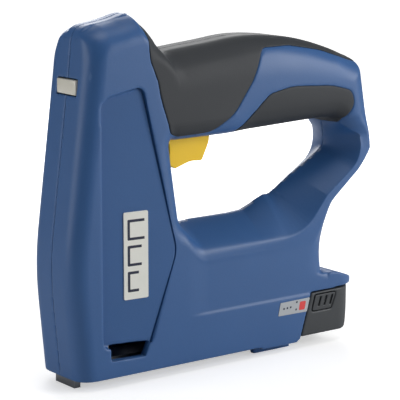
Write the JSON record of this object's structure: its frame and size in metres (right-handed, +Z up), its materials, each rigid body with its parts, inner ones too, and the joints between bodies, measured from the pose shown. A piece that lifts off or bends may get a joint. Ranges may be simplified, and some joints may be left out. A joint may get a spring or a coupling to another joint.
{
  "type": "cordless staple gun",
  "caption": "Hand-held battery staple gun with a loop handle, front trigger, rear-loading magazine and a slide-out battery foot.",
  "frame": {"origin": "centre of the nose's contact face, where the staples leave", "axes": "+X from the nose to the rear, +Z up, -Y to the tool's left side"},
  "size_m": [0.1917, 0.0386, 0.1783],
  "materials": {
    "housing_blue": "fine moulded texture, satin",
    "grip_black": "soft matt grip",
    "trigger_yellow": "smooth moulded",
    "label_white": "printed plate",
    "label_grey": "printed film",
    "lens_clear": "frosted window",
    "nose_steel": "hardened and oiled",
    "steel": "machined",
    "spring_steel": "drawn wire",
    "zinc": "zinc plated",
    "cast_block": "die cast",
    "battery_black": "moulded, satin",
    "cell_wrap": "shrink wrap",
    "board_green": "solder resist",
    "brass": "stamped",
    "gear_white": "acetal",
    "rubber_black": "moulded rubber",
    "switch_plastic": "moulded",
    "wire_red": "insulation",
    "led_white": "clear epoxy",
    "staple_wire": "galvanised wire"
  },
  "bodies": {
    "housing": {"left_housing": "housing_blue", "right_housing": "housing_blue", "upper_grip_left": "grip_black", "upper_grip_right": "grip_black", "lower_grip_left": "grip_black", "lower_grip_right": "grip_black", "housing_screws": "zinc", "side_labels": "label_white", "battery_label": "label_grey", "lamp_lens": "lens_clear", "lamp_led": "led_white", "lamp_board": "board_green", "nose_plate": "nose_steel", "nose_block": "cast_block", "nose_screws": "zinc", "guide_rod": "steel", "drive_spring": "spring_steel", "spring_seat": "switch_plastic", "rubber_bumper": "rubber_black", "frame_plate_left": "steel", "frame_plate_right": "steel", "frame_spacers": "steel", "idler_shaft": "steel", "motor_can": "zinc", "magazine_channel": "zinc", "trigger_pin": "steel", "trigger_spring": "spring_steel", "switch_body": "switch_plastic", "tool_contacts": "brass", "main_board": "board_green", "motor_leads": "wire_red", "lamp_leads": "wire_red", "switch_leads": "wire_red"},
    "hammer": {"hammer_carriage": "cast_block", "driver_blade": "steel", "driver_pin": "steel"},
    "lift_gear": {"lift_pinion": "steel", "lift_wheel": "gear_white", "lift_shaft": "steel"},
    "idler": {"idler_gear": "gear_white"},
    "rotor": {"motor_rotor": "steel", "motor_pinion": "brass"},
    "trigger": {"trigger": "trigger_yellow"},
    "plunger": {"switch_plunger": "switch_plastic"},
    "magazine_slider": {"magazine_rail": "zinc", "magazine_pull": "battery_black", "staple_strip": "staple_wire", "magazine_latch_spring": "spring_steel", "pusher_spring": "spring_steel"},
    "pusher": {"pusher": "steel"},
    "magazine_latch": {"magazine_latch": "battery_black"},
    "battery": {"battery_case": "battery_black", "battery_cover": "battery_black", "battery_cells": "cell_wrap", "battery_contacts": "brass", "battery_board": "board_green", "battery_button_spring_left": "spring_steel", "battery_button_spring_right": "spring_steel"},
    "button_left": {"battery_button_left": "battery_black"},
    "button_right": {"battery_button_right": "battery_black"}
  },
  "joints": [
    {"name": "lift_gear_turn", "type": "hinge", "parent": "housing", "child": "lift_gear", "pos_m": [0.028, 0, 0.06], "axis": [0, 1, 0], "range_deg": [0, 80.21], "stiffness_Nm_per_rad": 0.08, "springref_deg": -22.92},
    {"name": "hammer_lift", "type": "slide", "parent": "housing", "child": "hammer", "axis": [0, 0, 1], "range_m": [0, 0.0141], "deforming": ["drive_spring"]},
    {"name": "idler_turn", "type": "hinge", "parent": "housing", "child": "idler", "pos_m": [0.0342, 0, 0.07901], "axis": [0, 1, 0], "range_deg": [-242, 0]},
    {"name": "motor_turn", "type": "hinge", "parent": "housing", "child": "rotor", "pos_m": [0.0335, 0, 0.097], "axis": [0, 1, 0], "range_deg": [0, 845]},
    {"name": "trigger_pull", "type": "hinge", "parent": "housing", "child": "trigger", "pos_m": [0.0576, 0, 0.1226], "axis": [0, -1, 0], "range_deg": [0, 10], "stiffness_Nm_per_rad": 0.4, "springref_deg": -8.59, "deforming": ["trigger_spring"]},
    {"name": "plunger_press", "type": "slide", "parent": "housing", "child": "plunger", "axis": [0, 0, 1], "range_m": [0, 0.0037]},
    {"name": "magazine_slide", "type": "slide", "parent": "housing", "child": "magazine_slider", "axis": [1, 0, 0], "range_m": [0, 0.085]},
    {"name": "pusher_slide", "type": "slide", "parent": "magazine_slider", "child": "pusher", "axis": [1, 0, 0], "range_m": [0, 0.035], "stiffness_N_per_m": 60, "springref_m": -0.02, "deforming": ["pusher_spring"]},
    {"name": "magazine_latch_press", "type": "slide", "parent": "magazine_slider", "child": "magazine_latch", "axis": [-1, 0, 0], "range_m": [0, 0.0016], "stiffness_N_per_m": 400, "springref_m": -0.001, "deforming": ["magazine_latch_spring"]},
    {"name": "battery_slide", "type": "slide", "parent": "housing", "child": "battery", "axis": [1, 0, 0], "range_m": [0, 0.078]},
    {"name": "left_button_press", "type": "slide", "parent": "battery", "child": "button_left", "axis": [0, 1, 0], "range_m": [0, 0.0015], "stiffness_N_per_m": 400, "springref_m": -0.001, "deforming": ["battery_button_spring_left"]},
    {"name": "right_button_press", "type": "slide", "parent": "battery", "child": "button_right", "axis": [0, -1, 0], "range_m": [0, 0.0015], "stiffness_N_per_m": 400, "springref_m": -0.001, "deforming": ["battery_button_spring_right"]}
  ],
  "couplings": [
    {"joint": "hammer_lift", "follows": "lift_gear_turn", "m_per_rad": 0.01},
    {"joint": "idler_turn", "follows": "lift_gear_turn", "ratio": -3},
    {"joint": "motor_turn", "follows": "lift_gear_turn", "ratio": 10.5},
    {"joint": "plunger_press", "follows": "trigger_pull", "m_per_rad": 0.0204}
  ]
}
